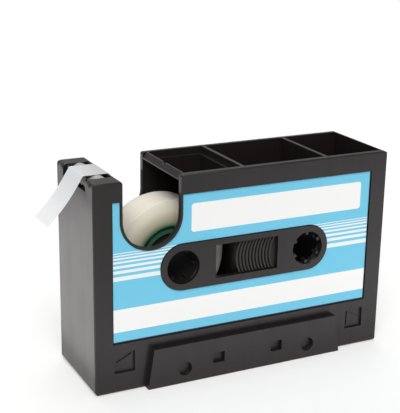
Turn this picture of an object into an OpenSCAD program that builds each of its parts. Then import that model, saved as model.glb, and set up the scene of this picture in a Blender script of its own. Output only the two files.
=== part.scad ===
// Desk tidy shaped like an audio cassette: a tape dispenser, a lift-out pin tray and two pen bays.
// X runs along the front, Y from the front to the back and Z up.
// The origin is the middle of the underside, on the table.

/* [Body] */
// Length along the front
body_w = 165; // [150:1:190]
// Height of the rim above the table
body_h = 108; // [102:1:125]
// Depth between the front and back faces
body_d = 50; // [48:1:64]
// Thickness of the front and back walls
wall_t = 3; // [2.4:0.1:4]
// Thickness of the end walls
end_t = 2.6; // [2:0.1:4]
// Thickness of the bottom and of the bay floor
floor_t = 2.5; // [1.6:0.1:4]
// Height of the bay floor above the table
floor_z = 20; // [18:0.5:24]
// Radius of the outline's corners
corner_r = 2.5; // [0.8:0.1:2.6]
// Radius along the front and back edges
edge_r = 0.9; // [0.3:0.1:1.5]

/* [Bays] */
// Thickness of the bay dividers
divider_t = 2; // [1.4:0.1:4]
// Width of the main pen bay
pen_bay_w = 46.5; // [36:0.5:54]

/* [Label panel] */
// Frame left of and right of the label
label_side = 9.5; // [7:0.1:12]
// Band above the label
label_top = 10; // [7:0.1:13]
// Height of the label's lower edge
label_z = 26; // [25:0.1:30]
// Radius of the label's corners
label_r = 0.5; // [0.2:0.1:3]
// Depth of the label's recess
label_recess = 0.9; // [0.4:0.1:1.3]
// Thickness of the label
label_t = 0.3; // [0.1:0.05:0.4]
// Gap round the label's edge
label_gap = 0.25; // [0.1:0.05:0.6]

/* [Reels] */
// Distance of the reel axes below the rim
reel_drop = 47.3; // [44:0.1:52]
// Radius of the reel holes
reel_hole_r = 8.8; // [7.5:0.1:9.5]
// Half height of the proud reel panel
reel_panel_r = 12; // [10.5:0.1:14]
// Number of teeth round a reel
reel_teeth = 6; // [3:1:8]
// Length of a tooth
tooth_l = 1.9; // [1.5:0.1:3.5]
// Width of a tooth
tooth_w = 1.7; // [1.2:0.1:3]
// Axial length of a tooth
tooth_d = 4; // [2:0.1:5]
// Depth of the fixed collar behind the right reel hole
collar_d = 2; // [1:0.1:4]
// Thickness of the collar
collar_t = 2.4; // [1.2:0.1:3]
// Gap between the collar and the divider beside it
collar_gap = 0.3; // [0.2:0.05:0.6]

/* [Reel window] */
// Distance from a reel hole's edge to the window
window_side = 9; // [7:0.1:11]
// Height of the window
window_h = 17.4; // [14:0.1:18.5]
// Height of the window's middle above the reel axes
window_rise = 0.4; // [-0.5:0.1:0.8]
// Thickness of the insert's back plate
window_plate_t = 1.6; // [1:0.1:3]
// Margin of the back plate round the window
window_lap = 2; // [1:0.1:3]
// Number of ribs that stand for wound tape
window_ribs = 11; // [5:1:11]
// Spacing of the ribs
rib_pitch = 1.9; // [1.6:0.05:2.2]
// Width of a rib
rib_w = 1; // [0.6:0.1:1.4]
// Plain strip to the right of the ribs
rib_end = 3.4; // [1.5:0.1:4.5]
// Radius of a rib's curve
rib_curve_r = 17; // [12:0.5:30]
// Height of the ribs above the back plate
rib_h = 1.7; // [0.8:0.1:2.2]

/* [Foot block] */
// Height of the foot block
foot_h = 21.2; // [19:0.1:24]
// Width of the foot block at the table
foot_w = 111.7; // [90:0.1:114]
// Width of the foot block at its top
foot_top_w = 105.3; // [86:0.1:113]
// How far the foot block stands out
foot_d = 3.8; // [1.5:0.1:6]
// Depth of the dimples in the foot block
dimple_d = 2.4; // [0.5:0.1:2.8]
// Thickness of the foot block behind the dimples
dimple_back = 1.4; // [1:0.1:2]
// Radius of the round dimples
dimple_r = 3.7; // [2.5:0.1:5]
// Distance of the round dimples from the middle
dimple_x = 35.7; // [30:0.1:42]
// Height of the round dimples
dimple_z = 7.9; // [7:0.1:12]
// Width of the square dimples
square_w = 6.6; // [4:0.1:9]
// Height of a square dimple from its lower to its upper edge
square_h = 5.6; // [4:0.1:8]
// Distance of the square dimples from the middle
square_x = 16.8; // [12:0.1:24]
// Height of the square dimples above the table
square_z = 10.6; // [8:0.1:14]

/* [Corner marks] */
// Side of the square recess
mark_w = 10.8; // [7:0.1:12]
// Distance of a mark from the end of the body
mark_x = 15.6; // [9:0.1:18]
// Height of a mark
mark_z = 16; // [10:0.1:17]
// Depth of the recess
mark_d = 1.3; // [0.8:0.1:1.6]
// Height of the raised arrow in it
arrow_h = 0.6; // [0.2:0.1:0.8]
// Length of the arrow
arrow_l = 7.6; // [4:0.1:8]

/* [Dispenser head] */
// Width of the tower at the left end
tower_w = 15; // [15:0.1:18]
// Thickness of the tower's inner wall
tower_wall_t = 3.4; // [2:0.1:4]
// Half width of the well across the tower
well_half = 15.5; // [13:0.1:17]
// Depth of the well
well_d = 12; // [9:0.1:18]
// Depth of the notch that the tape leaves through
notch_d = 5.8; // [4.5:0.1:8]
// Width of the seat behind the notch
seat_w = 3.6; // [3:0.1:3.8]
// Thickness of the cheeks beside the well
cheek_t = 2.5; // [1.5:0.1:4]
// Width of the finger cut between the tower and the tray
cut_w = 30.3; // [26:0.1:33]
// Depth of the finger cut below the rim
cut_d = 34.9; // [28:0.1:36]
// Width of the proud rim round the finger cut
cut_rim = 1.1; // [0.5:0.1:2]
// Radius of the rim's corners beside the finger cut
rim_r = 1.4; // [0.5:0.1:2]

// Thickness of the wall that the tape turns over
guide_t = 1.9; // [1.5:0.1:2.1]

/* [Guide roller] */
// Radius of the roller that the tape runs over
roller_r = 4.2; // [3.4:0.1:4.3]
// Distance of the roller from the wall beside it
roller_inset = 0.5; // [0.3:0.1:0.7]
// Gap between the roller's ends and the cheeks
roller_gap = 0.6; // [0.3:0.1:1.5]
// Radius of the roller's pins
pin_r = 1.6; // [1:0.1:2.5]
// Play round the pins
pin_play = 0.06; // [0.03:0.01:0.1]

/* [Cutter] */
// Thickness of the sheet steel
cutter_t = 0.5; // [0.3:0.05:0.8]
// Distance of the cutting edge from the end of the body
cutter_x = 1.75; // [1:0.05:3]
// Spacing of the cutting teeth
cutter_pitch = 1.25; // [0.8:0.05:2]
// Height of the cutting teeth
cutter_tooth = 1; // [0.4:0.1:1.5]
// Gap between the cutter and the cheeks
cutter_gap = 3; // [0.5:0.1:3.5]

/* [Tape] */
// Width of the tape
tape_w = 19; // [12:0.5:25]
// Radius of the full roll
roll_r = 29.5; // [24:0.5:30]
// Outer radius of the core
core_r = 16.5; // [14.5:0.1:20]
// Bore radius of the core
core_bore_r = 12.7; // [12:0.1:14]
// Free space round the roll
roll_gap = 2.5; // [2:0.1:6]
// Thickness of the drawn-off strip
strip_t = 0.3; // [0.1:0.05:0.5]
// Gap between the strip and what it passes over
strip_gap = 0.15; // [0.05:0.05:0.4]
// Length of the free end beyond the cutter
strip_end = 30; // [10:0.5:40]
// Angle of the free end below level
strip_drop = 52; // [20:1:75]

/* [Spool] */
// Radius of the journals
journal_r = 10.8; // [10.2:0.1:11.6]
// Play between a journal and its cradle
journal_play = 0.08; // [0.03:0.01:0.1]
// Play between the spool and the core
core_play = 0.08; // [0.03:0.01:0.2]
// End play of the spool between the walls
spool_end_play = 0.5; // [0.3:0.1:1]
// Thickness of the cradle rails
cradle_t = 3.2; // [2:0.1:4]
// Depth of the cradle rails from the wall
cradle_d = 6; // [3:0.1:9]
// Height of the cradle's arms above the axis
cradle_arm = 4; // [2:0.1:10]

/* [Pin tray] */
// Thickness of the tray's walls
tray_t = 1.6; // [1:0.1:2.5]
// Thickness of the tray's lip
lip_t = 2.8; // [2.6:0.1:4]
// Height of the lip
lip_h = 3.5; // [2:0.1:6]
// Height of the upright edge below the lip's sloping face
lip_edge = 0.7; // [0.4:0.1:1.5]
// Width of the lip's sloping face
lip_slope = 1.9; // [1:0.1:2.4]
// Slope of the tray's scoop
scoop_a = 33; // [28:1:40]
// Gap between the tray and the walls round it
tray_gap = 0.3; // [0.2:0.05:0.8]
// Free space between the roll and the tray
tray_clear = 2; // [1.5:0.1:4]
// Width of the ledges under the tray
ledge_w = 2.4; // [1.5:0.1:4]
// Height of the ledges
ledge_h = 2.2; // [1.5:0.1:4]
// Radius of the thumb notch in the lip
thumb_r = 2.2; // [1:0.1:5]
// Depth of the thumb notch
thumb_d = 1; // [0.5:0.1:2]

/* [Fixings] */
// Gap between the screw bosses and the tower's walls
boss_gap = 0.2; // [0.1:0.05:0.5]
// Radius of a screw's head
screw_head_r = 2.7; // [2:0.1:3]
// Play round a screw's shank
screw_play = 0.05; // [0.02:0.01:0.2]
// Play round a screw's head
head_play = 0.3; // [0.1:0.05:0.6]
// Height of a screw's head
screw_head_h = 1.9; // [1:0.1:3]
// Radius of a screw's shank
screw_r = 1.3; // [1:0.05:1.6]
// Length of a screw below its head
screw_l = 20; // [14:0.5:24]
// Distance of the screw seats from the joint between the bosses
screw_seat = 8; // [4:0.5:12]
// Height of the lower screws
screw_z = 9.2; // [8.8:0.1:12]
// Distance of the upper screw below the rim
screw_top = 22; // [20:0.5:40]
// Thickness of the non-slip pad
pad_t = 1.4; // [0.8:0.1:2]
// How far the pad stands below the shells
pad_proud = 0.3; // [0.2:0.1:0.7]
// Margin of the pad from the ends of the body
pad_side = 10; // [6:0.5:25]
// Margin of the pad from the faces of the body
pad_front = 7; // [5:0.5:15]

/* [Hidden] */
$fn = 64;
eps = 1;                                  // how far a cut runs past the face that it opens
half_w = body_w / 2;
face_y = body_d / 2;                      // front face at -face_y, back face at +face_y
inner_y = face_y - wall_t;
base_z = pad_proud;                       // underside of the shells
tower_x = -half_w + tower_w;              // tower's face towards the tape bay
reel_x = -tower_x - roll_gap - roll_r;    // reels at +reel_x and -reel_x
reel_z = body_h - reel_drop;
bay_x = tower_x + 2 * (roll_gap + roll_r);
pen_x = bay_x + divider_t;
side_x = pen_x + pen_bay_w;               // left face of the second divider
label_x = half_w - label_side;
label_end = body_h - label_top;
window_x = reel_x - reel_hole_r - window_side;
window_z = reel_z + window_rise - window_h / 2;
cut_r = cut_w / 2;
cut_x = tower_x + cut_r;
cut_z = body_h - cut_d + cut_r;
well_z = body_h - well_d;
notch_z = body_h - notch_d;
roller_x = tower_x - guide_t - roller_inset - roller_r;
roller_z = body_h - roller_r;
tray_x = tower_x + cut_w;
tray_z = reel_z + roll_r + tray_clear;
lip_z = body_h - lip_h;                   // underside of the tray's lip
scoop_x = tray_x + lip_t - tray_t;        // where the scoop's underside starts
tower_in = tower_w - tower_wall_t - end_t; // clear width inside the tower
boss_r = tower_in / 2 - boss_gap;
screw_x = half_w - end_t - tower_in / 2;
low_screws = [-screw_x, 0, screw_x];
top_screw = [-screw_x, body_h - screw_top];
screws = [for (x = low_screws) [x, screw_z], top_screw];
pad_seat = pad_t - pad_proud;             // depth of the pad's recess

// Stretches an outline drawn in X and Z from y0 to y1.
module slab(y0, y1) {
    translate([0, y1, 0]) rotate([90, 0, 0]) linear_extrude(y1 - y0) children();
}

// Rectangle with round corners.
module round_rect(x0, x1, z0, z1, r) {
    translate([x0 + r, z0]) square([x1 - x0 - 2 * r, z1 - z0]);
    translate([x0, z0 + r]) square([x1 - x0, z1 - z0 - 2 * r]);
    for (x = [x0 + r, x1 - r], z = [z0 + r, z1 - r])
        translate([x, z]) circle(r);
}

// Rectangle between two corners.
module rect(x0, x1, z0, z1) {
    translate([x0, z0]) square([x1 - x0, z1 - z0]);
}

// Round pin or bore along Y.
module rod(x, z, r, y0, y1) {
    translate([x, y1, z]) rotate([90, 0, 0]) cylinder(r = r, h = y1 - y0);
}

// Points along an arc about centre c, from angle a0 to angle a1.
function arc(c, r, a0, a1, n) =
    [for (i = [0 : n]) let (a = a0 + (a1 - a0) * i / n) c + r * [cos(a), sin(a)]];

// Left-hand normal of a path at point i.
function path_normal(p, i) =
    let (d = p[min(i + 1, len(p) - 1)] - p[max(i - 1, 0)]) [-d[1], d[0]] / norm(d);

// Closed outline of a thin strip that follows a path.
function strip_outline(p, t) = concat(
    [for (i = [0 : len(p) - 1]) p[i] + path_normal(p, i) * t / 2],
    [for (i = [len(p) - 1 : -1 : 0]) p[i] - path_normal(p, i) * t / 2]);

// Body outline seen from the front.
module body_outline() {
    round_rect(-half_w, half_w, base_z, body_h, corner_r);
}

// Finger cut between the tower and the tray, grown by a margin.
module finger_cut(grow) {
    translate([cut_x, cut_z]) circle(cut_r + grow);
    rect(cut_x - cut_r - grow, cut_x + cut_r + grow, cut_z, body_h + eps);
}

// What a round corner takes off the rim at x, on the tower's side or the tray's side of the cut.
module rim_corner(x, side) {
    difference() {
        rect(min(x, x + side * rim_r), max(x, x + side * rim_r), body_h - rim_r, body_h + eps);
        translate([x + side * rim_r, body_h - rim_r]) circle(rim_r);
    }
}

// Proud panel round the two reels, grown by a margin.
module reel_panel(grow) {
    for (x = [-reel_x, reel_x])
        translate([x, reel_z]) circle(reel_panel_r + grow);
    rect(-reel_x, reel_x, reel_z - reel_panel_r - grow, reel_z + reel_panel_r + grow);
}

// Area that the label's recess covers, shrunk by a margin.
module label_area(shrink) {
    difference() {
        round_rect(-label_x + shrink, label_x - shrink, label_z + shrink, label_end - shrink, label_r);
        reel_panel(shrink);
        finger_cut(cut_rim + shrink);
    }
}

// Reel window, grown by a margin.
module window_area(grow) {
    rect(-window_x - grow, window_x + grow, window_z - grow, window_z + window_h + grow);
}

// Teeth that point into a round hole of radius r, the first one at angle a0.
module teeth(x, r, y0, y1, a0) {
    root = 0.5;                           // how far a tooth is rooted in the wall
    for (i = [0 : reel_teeth - 1])
        translate([x, 0, reel_z]) rotate([0, a0 + i * 360 / reel_teeth, 0])
            translate([-tooth_w / 2, y0, r - tooth_l]) cube([tooth_w, y1 - y0, tooth_l + root]);
}

// Foot block outline, shrunk by a margin.
module foot_outline(shrink) {
    bottom = foot_w / 2 - shrink;
    top = foot_top_w / 2 - shrink;
    polygon([[-bottom, base_z], [bottom, base_z], [top, foot_h - shrink], [-top, foot_h - shrink]]);
}

// Foot block that stands out from the face, with its dimples.
module foot_block() {
    front = -face_y - foot_d;
    difference() {
        slab(front, -inner_y) foot_outline(0);
        slab(front - eps, front + dimple_d) {
            for (x = [-dimple_x, dimple_x])
                translate([x, dimple_z]) circle(dimple_r);
            for (x = [-square_x, square_x])
                translate([x, square_z]) square([square_w, square_h], center = true);
        }
    }
}

// Face wall with rounded edges.
module face_blank() {
    intersection() {
        slab(-face_y, -inner_y) body_outline();
        translate([-half_w - eps, 0, 0]) rotate([90, 0, 90]) linear_extrude(body_w + 2 * eps)
            edge_profile(base_z, body_h);
        linear_extrude(body_h + eps) mirror([1, -1]) edge_profile(-half_w, half_w);
    }
}

// Section of the face wall: the outer corners are round.
module edge_profile(low, high) {
    rect(-face_y + edge_r, eps, low, high);
    rect(-face_y, eps, low + edge_r, high - edge_r);
    for (z = [low + edge_r, high - edge_r])
        translate([-face_y + edge_r, z]) circle(edge_r);
}

// Square recess with a raised arrow that points outwards.
module corner_mark(side) {
    x = side * (half_w - mark_x);
    tip = side * arrow_l / 2;
    difference() {
        slab(-face_y - eps, -face_y + mark_d) translate([x, mark_z]) square(mark_w, center = true);
        slab(-face_y + mark_d - arrow_h, -face_y + mark_d + eps) translate([x, mark_z])
            polygon([[tip, 0], [-tip, arrow_l / 2], [-tip, -arrow_l / 2]]);
    }
}

// Face wall with its label recess, finger cut, window, reel holes and marks.
module face_wall() {
    difference() {
        face_blank();
        slab(-face_y - eps, -face_y + label_recess) label_area(0);
        slab(-face_y - eps, -inner_y + eps) {
            finger_cut(0);
            window_area(0);
            rim_corner(tray_x, 1);
        }
        for (x = [-reel_x, reel_x])
            rod(x, reel_z, reel_hole_r, -face_y - eps, -inner_y + eps);
        for (side = [-1, 1])
            corner_mark(side);
    }
}

// Collar with fixed teeth behind the right reel hole.
module reel_collar() {
    difference() {
        rod(reel_x, reel_z, reel_hole_r + collar_t, -inner_y, -inner_y + collar_d);
        rod(reel_x, reel_z, reel_hole_r, -inner_y - eps, -inner_y + collar_d + eps);
    }
    teeth(reel_x, reel_hole_r, -inner_y + collar_d - tooth_d, -inner_y + collar_d, 0);
}

// Ends, bottom, bay floor, dividers and the tower's wall, seen from the front.
module frame_outline() {
    inside = -half_w + end_t;
    difference() {
        body_outline();
        rect(inside, -inside, base_z + floor_t, body_h + eps);
    }
    rect(tower_x - tower_wall_t, -inside, floor_z - floor_t, floor_z);
    for (x = [bay_x, side_x])
        rect(x, x + divider_t, floor_z - floor_t, body_h);
    rect(tower_x - tower_wall_t, tower_x, base_z + floor_t, well_z);
    rect(inside, tower_x, well_z - floor_t, well_z);
}

// Middle of the case, between the two shells.
module case_frame() {
    collar_r = reel_hole_r + collar_t + collar_gap;
    collar_y = inner_y - collar_d - collar_gap;
    window_y = inner_y - window_plate_t - label_gap;
    color([0.16, 0.15, 0.15]) difference() {
        union() {
            slab(-inner_y, inner_y) frame_outline();
            // seat for the cutter
            slab(-well_half, well_half) rect(-half_w, -half_w + seat_w, well_z - floor_t, notch_z);
            // wall that the tape turns over
            slab(-well_half, well_half) difference() {
                rect(tower_x - guide_t, tower_x, well_z - floor_t, body_h);
                rim_corner(tower_x, -1);
            }
        }
        // notch that the tape leaves through
        slab(-well_half, well_half) rect(-half_w - eps, -half_w + end_t + eps, notch_z, body_h + eps);
        // room for the collars and the window inserts
        for (side = [0, 1]) mirror([0, side, 0]) {
            rod(reel_x, reel_z, collar_r, -inner_y - eps, -collar_y);
            slab(-inner_y - eps, -window_y) window_area(window_lap + label_gap);
        }
        pad_shape(pad_seat + base_z, 0);
    }
}

// Cheek of the tower's well, with its lid and the hole for the roller's pin.
module tower_head() {
    inside = -half_w + end_t;
    slab(-inner_y, -well_half) {
        rect(inside, tower_x, body_h - floor_t, body_h);
        rect(tower_x - tower_wall_t, tower_x, well_z, body_h);
    }
    difference() {
        slab(-well_half - cheek_t, -well_half) rect(inside, tower_x, well_z, body_h);
        rod(roller_x, roller_z, pin_r + pin_play, -inner_y, eps);
    }
}

// Cradle that carries a journal of the spool, open at the top.
module cradle() {
    bearing_r = journal_r + journal_play;
    outer_r = bearing_r + cradle_t;
    slab(-inner_y, -inner_y + cradle_d) translate([-reel_x, reel_z]) difference() {
        union() {
            difference() {
                circle(outer_r);
                rect(-outer_r - eps, outer_r + eps, 0, outer_r + eps);
            }
            rect(-outer_r, outer_r, 0, cradle_arm);
        }
        circle(bearing_r);
        rect(-bearing_r, bearing_r, 0, cradle_arm + eps);
    }
}

// Height of the scoop's underside at x.
function scoop_z(x) = lip_z - (x - scoop_x) * tan(scoop_a);

// Where a slope that is raised by a height meets the level z.
function scoop_end(raised, z) = scoop_x + (lip_z + raised - z) / tan(scoop_a);

// Ledge that the pin tray stands on.
module tray_ledge() {
    x0 = tray_x + lip_t;
    x1 = scoop_end(0, tray_z);
    slab(-inner_y, -inner_y + ledge_w)
        polygon([[x0, scoop_z(x0)], [x0, scoop_z(x0) - ledge_h], [x1, tray_z - ledge_h],
                 [bay_x, tray_z - ledge_h], [bay_x, tray_z], [x1, tray_z]]);
}

// Front of the case; the back is its mirror image.
module half_shell() {
    difference() {
        union() {
            face_wall();
            foot_block();
            tower_head();
            reel_collar();
            cradle();
            tray_ledge();
            for (p = screws)
                rod(p[0], p[1], boss_r, -inner_y, 0);
        }
        // hollow behind the foot block
        difference() {
            slab(min(-face_y - foot_d + dimple_d + dimple_back, -face_y), -inner_y) intersection() {
                foot_outline(wall_t);
                rect(-half_w, half_w, base_z + floor_t, floor_z - floor_t);
            }
            rod(0, screw_z, boss_r, -face_y - foot_d, 0);
        }
        slab(-face_y - eps, eps) rim_corner(tower_x, -1);
    }
}

// Non-slip pad from the table up to height z.
module pad_shape(z, shrink) {
    pad_r = 3;
    x = half_w - pad_side - shrink;
    y = face_y - pad_front - shrink;
    linear_extrude(z) round_rect(-x, x, -y, y, pad_r);
}

module front_shell() {
    color([0.16, 0.15, 0.15]) difference() {
        half_shell();
        for (p = screws)
            rod(p[0], p[1], screw_r + screw_play, screw_seat - screw_l - eps, eps);
    }
}

module back_shell() {
    back = face_y + foot_d;
    color([0.16, 0.15, 0.15]) difference() {
        mirror([0, 1, 0]) half_shell();
        for (p = screws) {
            rod(p[0], p[1], screw_r + screw_play, -eps, screw_seat + eps);
            rod(p[0], p[1], screw_head_r + head_play, screw_seat, back + eps);
        }
    }
}

module front_label() {
    color([0.4, 0.76, 0.9])
        slab(-face_y + label_recess - label_t, -face_y + label_recess) label_area(label_gap);
}

// Insert behind the right part of the reel window, with ribs that stand for wound tape.
// The left part stays open, so that the roll shows.
module reel_window() {
    first_rib = window_x - rib_end - rib_w - (window_ribs - 1) * rib_pitch;
    slab(-inner_y, -inner_y + window_plate_t) intersection() {
        window_area(window_lap);
        translate([first_rib + rib_curve_r, reel_z]) {
            circle(rib_curve_r);
            rect(0, body_w, -rib_curve_r, rib_curve_r);
        }
    }
    slab(-inner_y - rib_h, -inner_y) intersection() {
        window_area(-label_gap);
        for (i = [0 : window_ribs - 1])
            translate([first_rib + i * rib_pitch + rib_curve_r, reel_z]) difference() {
                circle(rib_curve_r);
                translate([rib_w, 0]) circle(rib_curve_r);
            }
    }
}

module front_reel_window() {
    color([0.2, 0.2, 0.2]) reel_window();
}

module back_reel_window() {
    color([0.2, 0.2, 0.2]) mirror([0, 1, 0]) reel_window();
}

// Bent steel strip: cutting edge and flat seat.
module cutter_blade() {
    edge = -half_w + cutter_x;
    seat = notch_z + cutter_t / 2;
    bend = 0.8;
    path = concat(
        [[edge, body_h]],
        arc([edge + bend, seat + bend], bend, 180, 270, 6),
        [[-half_w + seat_w, seat]]);
    y = well_half - cutter_gap;
    n = floor(2 * y / cutter_pitch);
    first = -n * cutter_pitch / 2;
    color([0.75, 0.75, 0.77]) difference() {
        slab(-y, y) polygon(strip_outline(path, cutter_t));
        translate([edge - eps, 0, 0]) rotate([90, 0, 90]) linear_extrude(2 * eps)
            for (i = [0 : n - 1])
                translate([first + (i + 0.5) * cutter_pitch, body_h])
                    polygon([[-cutter_pitch / 2, eps / 10], [0, -cutter_tooth], [cutter_pitch / 2, eps / 10]]);
    }
}

// Roller that the tape runs over, on two pins in the cheeks.
module tape_roller() {
    roller_y = well_half - roller_gap;
    pin_y = well_half + cheek_t - roller_gap;
    color([0.8, 0.8, 0.78]) {
        rod(roller_x, roller_z, roller_r, -roller_y, roller_y);
        rod(roller_x, roller_z, pin_r, -pin_y, pin_y);
    }
}

// Tape from the roll round the tower's edge and over the roller to the cutter, with its free end.
module tape_strip() {
    lift = strip_gap + strip_t / 2;
    roll = [-reel_x, reel_z];
    r_roll = roll_r + lift;
    edge = [tower_x - rim_r, body_h - rim_r];
    r_edge = rim_r + lift;
    d = edge - roll;
    rise = atan2(d[1], d[0]) - asin((r_roll + r_edge) / norm(d));
    start = roll + r_roll * [cos(rise + 90), sin(rise + 90)];
    r_cut = 1;
    cut = [-half_w + cutter_x, body_h + lift - r_cut];
    bend = arc(cut, r_cut, 90, 90 + strip_drop, 6);
    free_end = bend[6] - strip_end * [cos(strip_drop), sin(strip_drop)];
    path = concat([start], arc(edge, r_edge, rise - 90, 90, 8), bend, [free_end]);
    color([0.93, 0.92, 0.88])
        slab(-tape_w / 2, tape_w / 2) polygon(strip_outline(path, strip_t));
}

// Lift-out tray: a lip on the left and a scoop that slopes down to a flat floor.
module pin_tray() {
    x0 = tray_x + lip_t;
    x1 = bay_x - tray_gap;
    y = inner_y - tray_gap;
    raised = tray_t / cos(scoop_a);
    floor_top = tray_z + tray_t;
    color([0.14, 0.13, 0.13]) difference() {
        slab(-y, y) {
            polygon([[scoop_x, lip_z], [scoop_end(0, tray_z), tray_z], [x1, tray_z], [x1, lip_z]]);
            polygon([[tray_x, lip_z], [x0, lip_z], [x0, body_h], [tray_x + lip_slope, body_h],
                     [tray_x, lip_z + lip_edge]]);
        }
        slab(-y + tray_t, y - tray_t)
            polygon([[x0, body_h + eps], [x0, scoop_z(x0) + raised], [scoop_end(raised, floor_top), floor_top],
                     [x1 - tray_t, floor_top], [x1 - tray_t, body_h + eps]]);
        translate([tray_x - eps, 0, body_h - thumb_d + thumb_r]) rotate([0, 90, 0])
            cylinder(r = thumb_r, h = lip_t + 2 * eps);
    }
}

// Hollow toothed spool that carries the core and turns in the two cradles.
module tape_spool() {
    end_y = inner_y - spool_end_play;
    inset = 1;                            // how far the barrel and the teeth stay inside
    barrel_y = tape_w / 2 - inset;
    color([0.12, 0.12, 0.12]) {
        difference() {
            union() {
                rod(-reel_x, reel_z, journal_r, -end_y, end_y);
                rod(-reel_x, reel_z, core_bore_r - core_play, -barrel_y, barrel_y);
            }
            rod(-reel_x, reel_z, reel_hole_r, -end_y - eps, end_y + eps);
        }
        for (side = [-1, 1])
            translate([0, side * (end_y - tooth_d / 2 - inset), 0])
                teeth(-reel_x, reel_hole_r, -tooth_d / 2, tooth_d / 2, 180 / reel_teeth);
    }
}

// Ring of tape width along the spool's axis.
module ring(outer, bore) {
    difference() {
        rod(-reel_x, reel_z, outer, -tape_w / 2, tape_w / 2);
        rod(-reel_x, reel_z, bore, -tape_w / 2 - eps, tape_w / 2 + eps);
    }
}

module tape_core() {
    color([0.1, 0.4, 0.3]) ring(core_r, core_bore_r);
}

module tape_roll() {
    color([0.88, 0.86, 0.78]) ring(roll_r, core_r + core_play);
}

module case_screws() {
    color([0.6, 0.6, 0.62]) for (p = screws) {
        rod(p[0], p[1], screw_head_r, screw_seat, screw_seat + screw_head_h);
        rod(p[0], p[1], screw_r, screw_seat - screw_l, screw_seat);
    }
}

module base_pad() {
    color([0.1, 0.1, 0.1]) pad_shape(pad_t, label_gap);
}

case_frame();
front_shell();
back_shell();
front_label();
front_reel_window();
back_reel_window();
cutter_blade();
tape_strip();
tape_roller();
pin_tray();
tape_spool();
tape_core();
tape_roll();
case_screws();
base_pad();
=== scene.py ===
import math
import random

import bmesh
import bpy
from mathutils import Matrix, Vector


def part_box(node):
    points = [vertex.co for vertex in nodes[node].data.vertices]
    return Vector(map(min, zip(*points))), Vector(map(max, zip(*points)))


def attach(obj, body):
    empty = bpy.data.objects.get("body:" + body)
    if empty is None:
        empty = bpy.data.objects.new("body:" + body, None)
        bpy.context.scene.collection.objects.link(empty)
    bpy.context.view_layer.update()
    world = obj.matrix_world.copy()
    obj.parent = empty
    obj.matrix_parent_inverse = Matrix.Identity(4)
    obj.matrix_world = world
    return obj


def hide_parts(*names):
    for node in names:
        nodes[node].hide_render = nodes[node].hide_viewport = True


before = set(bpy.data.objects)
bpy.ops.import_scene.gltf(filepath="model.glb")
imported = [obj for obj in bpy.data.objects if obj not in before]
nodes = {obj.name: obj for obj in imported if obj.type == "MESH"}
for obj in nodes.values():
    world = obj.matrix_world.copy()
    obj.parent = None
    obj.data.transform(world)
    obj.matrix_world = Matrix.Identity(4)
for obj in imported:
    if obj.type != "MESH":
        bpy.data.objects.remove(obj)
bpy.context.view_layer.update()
mm = 0.001
print("frame loaded:", len(nodes), "nodes")


class Wire:  # a socket of a node tree; sums on it become Math nodes
    def __init__(self, tree, socket=None):
        self.tree = tree
        self.socket = socket

    def make(self, kind, settings=None, inputs=None, out=0):
        node = self.tree.nodes.new(kind)
        for name, value in (settings or {}).items():
            setattr(node, name, value)
        for name, value in (inputs or {}).items():
            if isinstance(value, Wire):
                self.tree.links.new(value.socket, node.inputs[name])
            else:
                node.inputs[name].default_value = value
        return Wire(self.tree, node.outputs[out] if node.outputs else None)

    def work(self, operation, *terms):
        return self.make("ShaderNodeMath", {"operation": operation}, dict(enumerate(terms)))

    def __add__(self, other):
        return self.work("ADD", self, other)

    __radd__ = __add__

    def __sub__(self, other):
        return self.work("SUBTRACT", self, other)

    def __rsub__(self, other):
        return self.work("SUBTRACT", other, self)

    def __mul__(self, other):
        return self.work("MULTIPLY", self, other)

    __rmul__ = __mul__

    def __pow__(self, other):
        return self.work("POWER", self, other)

    def __abs__(self):
        return self.work("ABSOLUTE", self)

    def atLeast(self, low):
        return self.work("MAXIMUM", self, low)

    def atMost(self, high):
        return self.work("MINIMUM", self, high)

    def rise(self, low, high):  # 0 below low, 1 above high, smooth between
        return self.make("ShaderNodeMapRange", {"interpolation_type": "SMOOTHSTEP"},
                         {"Value": self, "From Min": low, "From Max": high})

    def blend(self, first, second):  # a colour, mixed by this factor
        return self.make("ShaderNodeMix", {"data_type": "RGBA"}, {0: self, 6: first, 7: second}, out=2)


def newFinish(name):  # an empty material and the wire to build it with
    finish = bpy.data.materials.new(name)
    finish.use_nodes = True
    finish.node_tree.nodes.clear()
    return finish, Wire(finish.node_tree)


def showFinish(wire, shader):
    wire.make("ShaderNodeOutputMaterial", inputs={"Surface": shader})


def principled(wire, inputs):
    return wire.make("ShaderNodeBsdfPrincipled", inputs=inputs)


def placeOn(wire):  # a point's place on the piece, in millimetres
    spot = wire.make("ShaderNodeTexCoord", out="Object")
    return [wire.make("ShaderNodeSeparateXYZ", inputs={0: spot}, out=axis) * 1000 for axis in "XYZ"]


def vectorOf(wire, x, y, z):
    return wire.make("ShaderNodeCombineXYZ", inputs={0: x, 1: y, 2: z})


def noise(wire, vector, scale, detail):
    return wire.make("ShaderNodeTexNoise", inputs={"Vector": vector, "Scale": scale, "Detail": detail})


def bump(wire, height, distance, strength):
    return wire.make("ShaderNodeBump",
                     inputs={"Height": height, "Distance": distance, "Strength": strength})


def length(overX, overZ):  # of a way across and up
    return (overX * overX + overZ * overZ) ** 0.5


def rgb(red, green, blue):  # a colour as a picture editor shows it, made linear
    return tuple((c / 255 / 12.92) if c < 11 else ((c / 255 + 0.055) / 1.055) ** 2.4
                 for c in (red, green, blue)) + (1,)


def darker(colour, share):
    return tuple(c * share for c in colour[:3]) + (1,)


def dress(nodeName, finish):  # a CAD node keeps its shape and gets a finish
    piece = nodes[nodeName]
    if piece.material_slots:
        for slot in piece.material_slots:
            slot.material = finish
    else:
        piece.data.materials.append(finish)


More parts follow.
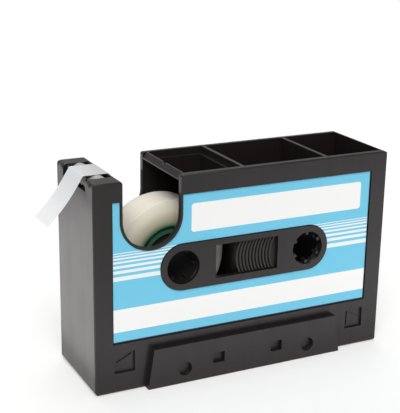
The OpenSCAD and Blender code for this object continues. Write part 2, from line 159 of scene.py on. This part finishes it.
def addPiece(name, mesh, finish, body, standsFor):
    piece = bpy.data.objects.new(name, mesh)
    bpy.context.scene.collection.objects.link(piece)
    mesh.materials.append(finish)
    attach(piece, body)
    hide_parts(*standsFor)


def smoothMesh(name, shape, sharpAngle):  # a mesh from a bmesh, smooth but for its sharp edges
    bmesh.ops.recalc_face_normals(shape, faces=shape.faces)
    mesh = bpy.data.meshes.new(name)
    shape.to_mesh(mesh)
    shape.free()
    for face in mesh.polygons:
        face.use_smooth = True
    mesh.set_sharp_from_angle(angle=math.radians(sharpAngle))
    return mesh


def middle(nodeName):
    low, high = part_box(nodeName)
    return (low + high) / 2


reel = middle("tape_core") / mm  # the left reel's axis; the right reel mirrors it


def fromReels(x, z):  # way from the line that joins the reels' axes
    return length((abs(x) - abs(reel.x)).atLeast(0), z - reel.z)


def aboveReels(z):
    return z.rise(reel.z, reel.z + 3)


# moulded black plastic of the case and the tray, sizes in mm
casePlastic = {
    "black": (0.0138, 0.0098, 0.0102, 1),
    "cloudScale": 0.05,
    "clouding": 0.6,     # how much of the darker black the clouds bring
    "roughness": 0.34,
    "roughnessSpread": 0.08,
    "shine": 0.43,
    "grainScale": 1.85185,
    "grainDepth": 0.004,
    "grainRoughness": 0.06,
    "streakScale": 0.16,
    "streakStretch": 0.03,
    "flow": 0.03,        # depth of the faint upright streaks that the melt leaves
    "coat": 0.09,
    "cut": (-52.35, 88.25, 15.15),  # middle (x, z) and radius of the finger cut
    "cutTop": 99,                   # its wall gets painted shade up to here
    "panelRadius": 12,              # of the reel panel's ends
    "wallDepth": 24.8,              # these walls lie nearer than this to the case's middle plane
    "wallRoughness": 0.85,
    # near-black for the painted shade on these walls
    "wallShadeBlack": (0.002, 0.004, 0.005, 1),
}
spoolPlastic = {**casePlastic, "black": (0.012, 0.0096, 0.009, 1), "roughness": 0.6, "shine": 0.2,
                "flow": 0.0, "coat": 0.0}
windowPlastic = {**casePlastic, "black": (0.03, 0.0255, 0.024, 1), "roughness": 0.45, "shine": 0.35,
                 "flow": 0.0, "coat": 0.0}


def shadedRecessWalls(x, y, z, look):  # the finger cut's wall and the reel panel's upper side: rougher, and darkened with painted shade
    cutX, cutZ, cutRadius = look["cut"]
    fromCut = length(x - cutX, (z - cutZ).atMost(0))
    cutWall = 1 - fromCut.rise(cutRadius + 0.1, cutRadius + 0.3)
    cutWall = cutWall * (1 - z.rise(look["cutTop"] - 1, look["cutTop"]))
    fromPanel = abs(fromReels(x, z) - look["panelRadius"])
    panelWall = (1 - fromPanel.rise(0.1, 0.2)) * aboveReels(z)
    inside = 1 - abs(y).rise(look["wallDepth"], look["wallDepth"] + 0.1)
    return cutWall.atLeast(panelWall) * inside


def mouldedPlastic(name, look):
    finish, wire = newFinish(name)
    x, y, z = placeOn(wire)
    place = vectorOf(wire, x, y, z)
    grain = noise(wire, place, look["grainScale"], 3)
    cloud = noise(wire, place, look["cloudScale"], 4)
    streak = noise(wire, vectorOf(wire, x, y, z * look["streakStretch"]), look["streakScale"], 3)
    height = grain * look["grainDepth"] + streak * look["flow"]
    black = (cloud * look["clouding"]).blend(look["black"], darker(look["black"], 0.75))
    rough = look["roughness"] + look["roughnessSpread"] * (cloud - 0.5)
    rough = rough + look["grainRoughness"] * (grain - 0.5)
    shadedWall = shadedRecessWalls(x, y, z, look)
    showFinish(wire, principled(wire, {
        # painted shade on the recess walls
        "Base Color": shadedWall.blend(black, look["wallShadeBlack"]),
        "Roughness": rough + shadedWall * (look["wallRoughness"] - look["roughness"]),
        "IOR": 1.5,
        "Specular IOR Level": look["shine"],
        "Coat Weight": look["coat"] * streak.rise(0.3, 0.7),
        "Coat Roughness": 0.3,
        "Normal": bump(wire, height, mm, 0.6),
    }))
    return finish


caseFinish = mouldedPlastic("case_plastic", casePlastic)
spoolFinish = mouldedPlastic("spool_plastic", spoolPlastic)
windowFinish = mouldedPlastic("window_plastic", windowPlastic)
for nodeName in ("case_frame", "front_shell", "back_shell", "pin_tray"):
    dress(nodeName, caseFinish)
dress("tape_spool", spoolFinish)
for nodeName in ("front_reel_window", "back_reel_window"):
    dress(nodeName, windowFinish)
print("plastic done")

# printed label: blue film with a white panel, a white band and graded stripes, sizes in mm
label = {
    "blue": rgb(112, 198, 227),
    "white": rgb(242, 242, 240),
    "panel": (-31.25, 67.15, 78.22, 92.8),  # left, right, low, high
    "panelRadius": 1.5,
    "band": (32.0, 43.85),                  # low, high
    "stripes": ((72.5, 0.4), (71.25, 0.6), (69.8, 0.85), (67.95, 1.0),
                (65.65, 1.3), (63.05, 1.55), (59.7, 2.2)),  # height of the middle, width
    "stripeInk": 0.9,    # how white the stripes are on the blue
    "soft": 0.08,        # width of a printed edge
    "cutEdgeShade": rgb(6, 26, 42),  # painted shade along the film's cut edge
    "cutEnd": 72.35,     # it starts here at both ends
    "cutLow": 27.0,      # and reaches up to here
    "cutReels": 12.42,   # and this far out from the reels, on the reel panel's upper side
    "fibreShade": (0.8, 0.82, 0.85, 1),
    "roughness": 0.42,
}


def labelFinish(look):
    finish, wire = newFinish("label_print")
    x, y, z = placeOn(wire)
    soft = look["soft"]

    def bar(centre, width):  # a level stripe
        return 1 - abs(z - centre).rise(width / 2 - soft, width / 2 + soft)

    left, right, low, high = look["panel"]
    radius = look["panelRadius"]
    overX = (abs(x - (left + right) / 2) - ((right - left) / 2 - radius)).atLeast(0)
    overZ = (abs(z - (low + high) / 2) - ((high - low) / 2 - radius)).atLeast(0)
    white = 1 - length(overX, overZ).rise(radius - soft, radius + soft)
    bandLow, bandHigh = look["band"]
    white = white + bar((bandLow + bandHigh) / 2, bandHigh - bandLow)
    for centre, width in look["stripes"]:
        white = white + look["stripeInk"] * bar(centre, width)
    printAndEdgeShade = white.blend(look["blue"], look["white"])
    # painted shade along the film's cut edges: at both ends, along the lower edge and on the reel
    # panel's upper side
    atEnd = abs(x).rise(look["cutEnd"], look["cutEnd"] + soft)
    atFoot = 1 - z.rise(look["cutLow"] - soft, look["cutLow"])
    atReels = (1 - fromReels(x, z).rise(look["cutReels"], look["cutReels"] + soft)) * aboveReels(z)
    printAndEdgeShade = atEnd.atLeast(atFoot).atLeast(atReels).blend(printAndEdgeShade, look["cutEdgeShade"])
    fibre = noise(wire, vectorOf(wire, x, y, z), 1.4, 5)
    dull = wire.make("ShaderNodeMix", {"data_type": "RGBA", "blend_type": "MULTIPLY"},
                     {0: 1.0, 6: printAndEdgeShade, 7: look["fibreShade"]}, out=2)
    showFinish(wire, principled(wire, {
        "Base Color": (fibre * 0.05).blend(printAndEdgeShade, dull),
        "Roughness": look["roughness"] + 0.12 * (fibre - 0.5),
        "IOR": 1.45,
        "Normal": bump(wire, fibre, 0.01 * mm, 0.5),
    }))
    return finish


dress("front_label", labelFinish(label))
print("label done")

# steel of the cutter and the screws
steel = {
    "cutter": {"colour": (0.17, 0.165, 0.16, 1), "roughness": 0.26, "brushed": (4, 0.2, 4)},
    "screw": {"colour": (0.42, 0.42, 0.43, 1), "roughness": 0.35, "brushed": (3, 3, 3)},
}


def steelFinish(name, look):
    finish, wire = newFinish(name)
    place = [way * fine for way, fine in zip(placeOn(wire), look["brushed"])]
    lines = noise(wire, vectorOf(wire, *place), 3, 3)
    showFinish(wire, principled(wire, {
        "Base Color": (lines * 0.35).blend(look["colour"], darker(look["colour"], 0.7)),
        "Metallic": 1.0,
        "Roughness": look["roughness"] + 0.15 * (lines - 0.5),
        "Normal": bump(wire, lines, 0.02 * mm, 0.4),
    }))
    return finish


dress("cutter_blade", steelFinish("cutter_steel", steel["cutter"]))
dress("case_screws", steelFinish("screw_steel", steel["screw"]))

# foam rubber of the pad
rubber = {"dark": (0.012, 0.012, 0.012, 1), "pale": (0.03, 0.03, 0.03, 1), "roughness": 0.8}


def rubberFinish(look):
    finish, wire = newFinish("pad_rubber")
    cells = noise(wire, vectorOf(wire, *placeOn(wire)), 1.6, 4)
    showFinish(wire, principled(wire, {
        "Base Color": cells.blend(look["dark"], look["pale"]),
        "Roughness": look["roughness"] + 0.2 * (cells - 0.5),
        "Normal": bump(wire, cells, 0.15 * mm, 0.8),
    }))
    return finish


dress("base_pad", rubberFinish(rubber))

# pale guide roller
roller = {"colour": rgb(172, 170, 164), "roughness": 0.35}


def rollerFinish(look):
    finish, wire = newFinish("roller_plastic")
    x, y, z = placeOn(wire)
    turned = noise(wire, vectorOf(wire, x * 0.15, y * 4, z * 0.15), 1.2, 2)
    showFinish(wire, principled(wire, {
        "Base Color": (turned * 0.3).blend(look["colour"], darker(look["colour"], 0.85)),
        "Roughness": look["roughness"] + 0.1 * (turned - 0.5),
        "Normal": bump(wire, turned, 0.01 * mm, 0.6),
    }))
    return finish


dress("tape_roller", rollerFinish(roller))
print("roller, cutter and pad done")


def ringMesh(name, outline, centre, count):  # points of (radius, y) in metres, turned about the axis
    shape = bmesh.new()
    rings = []
    for i in range(count):
        turn = 2 * math.pi * i / count
        rings.append([shape.verts.new((centre.x + r * math.cos(turn), y, centre.z + r * math.sin(turn)))
                      for r, y in outline])
    for i in range(count):
        here, after = rings[i], rings[(i + 1) % count]
        for j in range(len(outline)):
            k = (j + 1) % len(outline)
            shape.faces.new((here[j], here[k], after[k], after[j]))
    return smoothMesh(name, shape, 40)


# wound tape: layers that stand a hair proud of each other, sizes in mm
wound = {
    "layer": 0.42,       # spacing of the visible layers
    "step": 0.05,        # how far a layer may stand out
    "clear": 0.03,       # between the tape and its core
    "rim": rgb(247, 242, 227),
    # the same film in painted shade, for the side face near the core
    "shadedCream": rgb(206, 198, 172),
    "paling": (18.5, 25.5),         # radii between which the side face grows paler, out of the painted shade towards the core
    "nearCore": rgb(62, 128, 86),
    "tint": (16.0, 20.0),           # radii between which the core shines through
    "tintShare": 0.9,
    "outsideShade": rgb(232, 226, 211),  # the topmost turn, in painted shade to even its light with the side face
    "outsideSpan": (3.0, 0.1),      # depths under the outer face
    "corner": rgb(218, 212, 197),   # painted shade on the edges, which damps their bright line
    "cornerSpan": (0.7, 0.2),       # depths under the outer face
    "cornerWidth": (0.6, 0.15),     # ways in from the side face
    "layerDepth": 0.03,
    "edges": 0.03,       # how far the turns stand out on the outer face
    "depth": 8,          # how far light goes into the film
    "segments": 144,
    "seed": 7,
}


def woundOutline(look):
    low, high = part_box("tape_roll")
    outer = (high.x - low.x) / 2
    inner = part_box("tape_core")[1].x - middle("tape_core").x + look["clear"] * mm
    draw = random.Random(look["seed"])
    count = round((outer - inner) / (look["layer"] * mm))
    front, back = [], []
    for i in range(count + 1):
        r = inner + (outer - inner) * i / count
        front.append((r, low.y + look["step"] * draw.random() * mm))
        back.append((r, high.y - look["step"] * draw.random() * mm))
    return front + back[::-1]


def woundFinish(look):
    finish, wire = newFinish("wound_tape")
    x, y, z = placeOn(wire)
    centre = middle("tape_roll") / mm
    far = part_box("tape_roll")[1] / mm
    outer = far.x - centre.x
    radius = length(x - centre.x, z - centre.z)
    layers = noise(wire, vectorOf(wire, radius, 0.0, 0.0), 2.6, 3)
    turns = noise(wire, vectorOf(wire, 0.0, y, radius * 0.1), 0.9, 3)
    patch = noise(wire, vectorOf(wire, x, y, z), 0.06, 2)
    # painted shade: the side face darkens towards the core, with random patches
    pale = radius.rise(*look["paling"]) * (1.1 - layers * 0.25 - patch * 0.15)
    film = pale.atMost(1).blend(look["shadedCream"], look["rim"])
    # painted shade on the topmost turn and the side face's outer edge
    film = radius.rise(*(outer - depth for depth in look["outsideSpan"])).blend(film, look["outsideShade"])
    # painted shade along the roll's outer edge
    corner = radius.rise(*(outer - depth for depth in look["cornerSpan"]))
    corner = corner * abs(y).rise(*(far.y - way for way in look["cornerWidth"]))
    film = corner.blend(film, look["corner"])
    tint = 1 - radius.rise(*look["tint"])
    showFinish(wire, principled(wire, {
        "Base Color": (tint * look["tintShare"]).blend(film, look["nearCore"]),
        "Roughness": 0.5 + 0.2 * (layers - 0.5),
        "IOR": 1.47,
        "Specular IOR Level": 0.25,
        "Subsurface Weight": 1.0,
        "Subsurface Radius": (1.0, 0.95, 0.8),
        "Subsurface Scale": look["depth"] * mm,
        "Normal": bump(wire, layers * look["layerDepth"] + turns * look["edges"], mm, 0.6),
    }))
    return finish


woundMesh = ringMesh("wound_tape", woundOutline(wound), middle("tape_roll"), wound["segments"])
addPiece("wound_tape", woundMesh, woundFinish(wound), "spool", ["tape_roll"])

# green core: a moulded ring with a stepped face, sizes in mm
core = {
    "green": (0.045, 0.19, 0.117, 1),
    "pale": (0.09, 0.235, 0.16, 1),
    "seam": (0.003, 0.03, 0.014, 1),
    "seamSpan": (1.9, 1.33),  # depths under the outer face
    "bore": 12.7,        # radius of the hole
    "lip": 1.5,          # width of the low step round it
    "step": 0.6,
    "chamfer": 0.12,
    "segments": 96,
}


def coreOutline(look):
    low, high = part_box("tape_core")
    outer = (high.x - low.x) / 2
    bore = look["bore"] * mm
    lip = bore + look["lip"] * mm
    cut = look["chamfer"] * mm
    shelf = high.y - look["step"] * mm
    half = [(outer, high.y - cut), (outer - cut, high.y), (lip + cut, high.y), (lip, shelf),
            (bore + cut, shelf), (bore, shelf - cut)]
    return half + [(r, -y) for r, y in half[::-1]]


def coreFinish(look):
    finish, wire = newFinish("core_plastic")
    x, y, z = placeOn(wire)
    cloud = noise(wire, vectorOf(wire, x, y, z), 0.4, 3)
    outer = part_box("tape_core")[1].x / mm - reel.x
    seam = length(x - reel.x, z - reel.z).rise(*(outer - depth for depth in look["seamSpan"]))
    showFinish(wire, principled(wire, {
        "Base Color": seam.blend((cloud * 0.5).blend(look["green"], look["pale"]), look["seam"]),
        "Roughness": 0.3 + 0.12 * (cloud - 0.5),
        "Normal": bump(wire, cloud, 0.03 * mm, 0.4),
    }))
    return finish


coreMesh = ringMesh("tape_core_ring", coreOutline(core), middle("tape_core"), core["segments"])
addPiece("tape_core_ring", coreMesh, coreFinish(core), "spool", ["tape_core"])
print("roll and core done")

# drawn-off strip: frosted film from the roll over the roller and the cutter to its torn end, in mm
strip = {
    "thickness": 0.12,
    "gap": 0.12,         # between the film and what it passes over
    "towerEdge": (-68.9, 106.6),  # centre of the rounded edge that the film turns round
    "towerRadius": 1.4,
    "cutterEdge": -80.75,
    "bend": 1.0,         # radius of the bend over the cutter
    "drop": 52,          # degrees below level that the free end falls
    "free": 29.2,        # length of the free end
    "curl": 1.1,         # how far the free end bows
    "tooth": 1.25,       # pitch of the torn end's teeth
    "toothDepth": 0.8,
    "columns": 30,
    "rows": {"rise": 12, "edge": 12, "top": 10, "bend": 6, "free": 24},
    "colour": rgb(219, 222, 225),
    "streaks": rgb(206, 209, 208),
    "tip": rgb(243, 243, 243),   # painted light: the free end is a little whiter, where light comes through it
    "tipSpan": (86, 106),
    "towerShade": rgb(193, 195, 195),  # painted shade where it lies on the tower
    "towerShadeSpan": (-82, -67),
    "alpha": 0.95,
}


def stripPath(look):  # points of (x, z) in mm along the film's middle
    rows = look["rows"]
    roll = middle("tape_roll") / mm
    lift = look["gap"] + look["thickness"] / 2
    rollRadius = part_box("tape_roll")[1].x / mm - roll.x + lift
    edgeX, edgeZ = look["towerEdge"]
    edgeRadius = look["towerRadius"] + lift
    across, up = edgeX - roll.x, edgeZ - roll.z
    rise = math.atan2(up, across) - math.asin((rollRadius + edgeRadius) / math.hypot(across, up))
    start = (roll.x - rollRadius * math.sin(rise), roll.z + rollRadius * math.cos(rise))
    first = rise - math.pi / 2
    edge = []
    for i in range(rows["edge"] + 1):
        turn = first + (math.pi / 2 - first) * i / rows["edge"]
        edge.append((edgeX + edgeRadius * math.cos(turn), edgeZ + edgeRadius * math.sin(turn)))
    points = []
    for i in range(rows["rise"]):
        points.append(tuple(a + (b - a) * i / rows["rise"] for a, b in zip(start, edge[0])))
    points += edge
    topX, topZ = edge[-1]
    bend = look["bend"]
    cornerX, cornerZ = look["cutterEdge"], topZ - bend
    points += [(topX + (cornerX - topX) * i / rows["top"], topZ) for i in range(1, rows["top"])]
    drop = math.radians(look["drop"])
    for i in range(rows["bend"] + 1):
        turn = drop * i / rows["bend"]
        points.append((cornerX - bend * math.sin(turn), cornerZ + bend * math.cos(turn)))
    endX, endZ = points[-1]
    for i in range(1, rows["free"] + 1):
        way = look["free"] * i / rows["free"]
        bow = look["curl"] * math.sin(math.pi * i / rows["free"])  # a little of the roll's curl stays
        points.append((endX - way * math.cos(drop) + bow * math.sin(drop),
                       endZ - way * math.sin(drop) - bow * math.cos(drop)))
    return points


def stripMesh(look):
    path = stripPath(look)
    columns = look["columns"]
    low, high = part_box("tape_strip")
    across = [low.y + (high.y - low.y) * j / columns for j in range(columns + 1)]
    shape = bmesh.new()
    sides = []
    last = len(path) - 1
    for side in (1, -1):
        off = side * look["thickness"] / 2
        rows = []
        for i, (x, z) in enumerate(path):
            before, after = path[max(i - 1, 0)], path[min(i + 1, last)]
            along = Vector((after[0] - before[0], after[1] - before[1])).normalized()
            row = []
            for y in across:
                px, pz = x - along.y * off, z + along.x * off
                if i == last:  # torn on the cutter's teeth
                    tear = look["toothDepth"] * abs((y / mm / look["tooth"]) % 1 - 0.5) * 2
                    px, pz = px - along.x * tear, pz - along.y * tear
                row.append(shape.verts.new((px * mm, y, pz * mm)))
            rows.append(row)
        sides.append(rows)
    for rows, flip in zip(sides, (False, True)):
        for i in range(last):
            for j in range(columns):
                quad = (rows[i][j], rows[i][j + 1], rows[i + 1][j + 1], rows[i + 1][j])
                shape.faces.new(quad[::-1] if flip else quad)
    upper, lower = sides
    for i in range(last):
        for j in (0, columns):
            shape.faces.new((upper[i][j], upper[i + 1][j], lower[i + 1][j], lower[i][j]))
    for i in (0, last):
        for j in range(columns):
            shape.faces.new((upper[i][j], lower[i][j], lower[i][j + 1], upper[i][j + 1]))
    return smoothMesh("tape_film", shape, 50)


def filmFinish(look):
    finish, wire = newFinish("tape_film")
    x, y, z = placeOn(wire)
    drawn = noise(wire, vectorOf(wire, x * 0.15, y * 2.2, z * 0.15), 1.5, 3)
    frost = noise(wire, vectorOf(wire, x, y, z), 4, 4)
    # painted light on the free end
    film = z.rise(*look["tipSpan"]).blend(look["tip"], look["colour"])
    # painted shade on the film that lies on the tower
    film = x.rise(*look["towerShadeSpan"]).blend(film, look["towerShade"])
    showFinish(wire, principled(wire, {
        "Base Color": (drawn * 0.2).blend(film, look["streaks"]),
        "Roughness": 0.42 + 0.15 * (frost - 0.5),
        "IOR": 1.47,
        "Alpha": look["alpha"] - 0.08 * (drawn - 0.5),
        "Normal": bump(wire, drawn + frost * 0.3, 0.03 * mm, 0.4),
    }))
    return finish


addPiece("tape_film", stripMesh(strip), filmFinish(strip), "case", ["tape_strip"])
print("strip done")

# soft edges on the moulded pieces: width and weld in mm, angles in degrees
edges = {"width": 0.22, "angle": 32, "segments": 2, "weld": 0.002, "flat": 0.6}


def softenEdges(nodeName, look):
    piece = nodes[nodeName]
    weld = piece.modifiers.new("weld", "WELD")
    weld.merge_threshold = look["weld"] * mm
    flat = piece.modifiers.new("flat", "DECIMATE")
    flat.decimate_type = "DISSOLVE"
    flat.angle_limit = math.radians(look["flat"])
    bevel = piece.modifiers.new("edge", "BEVEL")
    bevel.limit_method = "ANGLE"
    bevel.angle_limit = math.radians(look["angle"])
    bevel.width = look["width"] * mm
    bevel.segments = look["segments"]
    bevel.use_clamp_overlap = True
    bevel.harden_normals = True


for nodeName in ("case_frame", "front_shell", "back_shell", "pin_tray",
                 "front_reel_window", "back_reel_window"):
    softenEdges(nodeName, edges)
print("edges done")

# studio: pale floor with painted shade towards the camera, a sky brighter towards the front, soft suns,
# three faint panels on the floor
studio = {
    "floorSize": 16,
    "floor": (0.702, 0.697, 0.693, 1),
    "floorShadedFront": (0.5, 0.5, 0.5, 1),   # painted shade: the paper darkens towards the camera
    "glow": (0.285, 0.284, 0.283, 1),   # white that the camera sees on top of the paper's own colour
    # painted shade: less glow towards the camera
    "glowShadedFront": (0.1, 0.1, 0.1, 1),
    "fade": (-420, -20),                # where the painted shade comes in, in mm
    "skyFront": (0.46, 0.46, 0.46, 1),
    "skyBack": (0.38, 0.38, 0.38, 1),
    "suns": (  # spread in degrees
        {"name": "key_light", "from": (-0.29, -0.57, 0.77), "level": 1.95, "spread": 36},
        {"name": "fill_light", "from": (-0.55, -0.72, 0.42), "level": 0.2, "spread": 36},
        {"name": "back_light", "from": (0.1, 0.56, 0.82), "level": 0.7, "spread": 50},
    ),
    "panels": (
        {"name": "end_panel", "place": (-0.195, 0.085, 0.004), "size": (0.21, 0.34), "power": 0.162,
         "colour": (1, 0.955, 0.945)},
        {"name": "front_panel", "place": (0.24, -0.2, 0.004), "size": (0.24, 0.4), "power": 0.13,
         "colour": (1, 1, 1)},
        {"name": "low_panel", "place": (0.03, -0.09, 0.003), "size": (0.2, 0.09), "power": 0.018,
         "colour": (1, 1, 1)},
    ),
}


def buildFloor(look):
    half = look["floorSize"] / 2
    corners = [(-half, -half, 0), (half, -half, 0), (half, half, 0), (-half, half, 0)]
    mesh = bpy.data.meshes.new("studio_floor")
    mesh.from_pydata(corners, [], [(0, 1, 2, 3)])
    floor = bpy.data.objects.new("studio_floor", mesh)
    bpy.context.scene.collection.objects.link(floor)
    finish, wire = newFinish("studio_paper")
    seen = wire.make("ShaderNodeLightPath", out="Is Camera Ray")
    for kind in ("Is Glossy Ray", "Is Transmission Ray"):
        seen = seen.atLeast(wire.make("ShaderNodeLightPath", out=kind))
    # painted shade on the paper towards the camera
    deep = placeOn(wire)[1].rise(*look["fade"])
    paperTone = deep.blend(look["floorShadedFront"], look["floor"])
    paper = wire.make("ShaderNodeBsdfDiffuse", inputs={"Color": paperTone})
    glowTone = deep.blend(look["glowShadedFront"], look["glow"])
    glow = wire.make("ShaderNodeEmission", inputs={"Color": glowTone})
    white = wire.make("ShaderNodeAddShader", inputs={0: paper, 1: glow})
    showFinish(wire, wire.make("ShaderNodeMixShader", inputs={0: seen, 1: paper, 2: white}))
    mesh.materials.append(finish)


def buildSky(look):
    world = bpy.data.worlds.new("studio_sky")
    bpy.context.scene.world = world
    world.use_nodes = True
    world.node_tree.nodes.clear()
    air = Wire(world.node_tree)
    way = air.make("ShaderNodeTexCoord", out="Generated")
    toBack = air.make("ShaderNodeSeparateXYZ", inputs={0: way}, out="Y")
    tone = toBack.rise(-0.5, 0.5).blend(look["skyFront"], look["skyBack"])
    sky = air.make("ShaderNodeBackground", inputs={"Color": tone})
    air.make("ShaderNodeOutputWorld", inputs={"Surface": sky})


def addLamp(name, kind):
    light = bpy.data.lights.new(name, kind)
    lamp = bpy.data.objects.new(name, light)
    bpy.context.scene.collection.objects.link(lamp)
    return light, lamp


def buildLamps(look):
    for spec in look["suns"]:
        light, lamp = addLamp(spec["name"], "SUN")
        light.energy = spec["level"]
        light.angle = math.radians(spec["spread"])
        lamp.rotation_euler = Vector(spec["from"]).to_track_quat("Z", "Y").to_euler()
    for spec in look["panels"]:  # they face straight up, and only reflections show them
        light, lamp = addLamp(spec["name"], "AREA")
        light.shape = "RECTANGLE"
        light.size, light.size_y = spec["size"]
        light.color = spec["colour"]
        light.energy = spec["power"]
        lamp.location = spec["place"]
        lamp.rotation_euler = (math.pi, 0, 0)
        lamp.visible_camera = False


buildFloor(studio)
buildSky(studio)
buildLamps(studio)

# camera at the photograph's viewpoint
view = {
    "azimuth": -26.516,
    "elevation": 17.323,
    "roll": 0.929,
    "place": (-0.24748, -0.46669, 0.24492),
    "focal": 1066.3,     # in pixels of the 400 x 413 picture
    "tall": 413,
    "sensor": 36,
    "clip": (0.01, 50),
}


def buildCamera(look):
    azimuth, elevation, roll = (math.radians(look[k]) for k in ("azimuth", "elevation", "roll"))
    back = Vector((math.sin(azimuth) * math.cos(elevation), -math.cos(azimuth) * math.cos(elevation),
                   math.sin(elevation)))
    right = (-back).cross(Vector((0, 0, 1))).normalized()
    up = right.cross(-back)
    turnedRight = right * math.cos(roll) + up * math.sin(roll)
    turnedUp = up * math.cos(roll) - right * math.sin(roll)
    data = bpy.data.cameras.new("camera")
    data.sensor_width = look["sensor"]
    data.lens = look["focal"] * look["sensor"] / look["tall"]
    data.clip_start, data.clip_end = look["clip"]
    camera = bpy.data.objects.new("camera", data)
    bpy.context.scene.collection.objects.link(camera)
    turn = Matrix((turnedRight, turnedUp, back)).transposed().to_4x4()
    camera.matrix_world = Matrix.Translation(look["place"]) @ turn
    bpy.context.scene.camera = camera


buildCamera(view)
bpy.context.scene.view_settings.view_transform = "Standard"
print("studio and camera done")
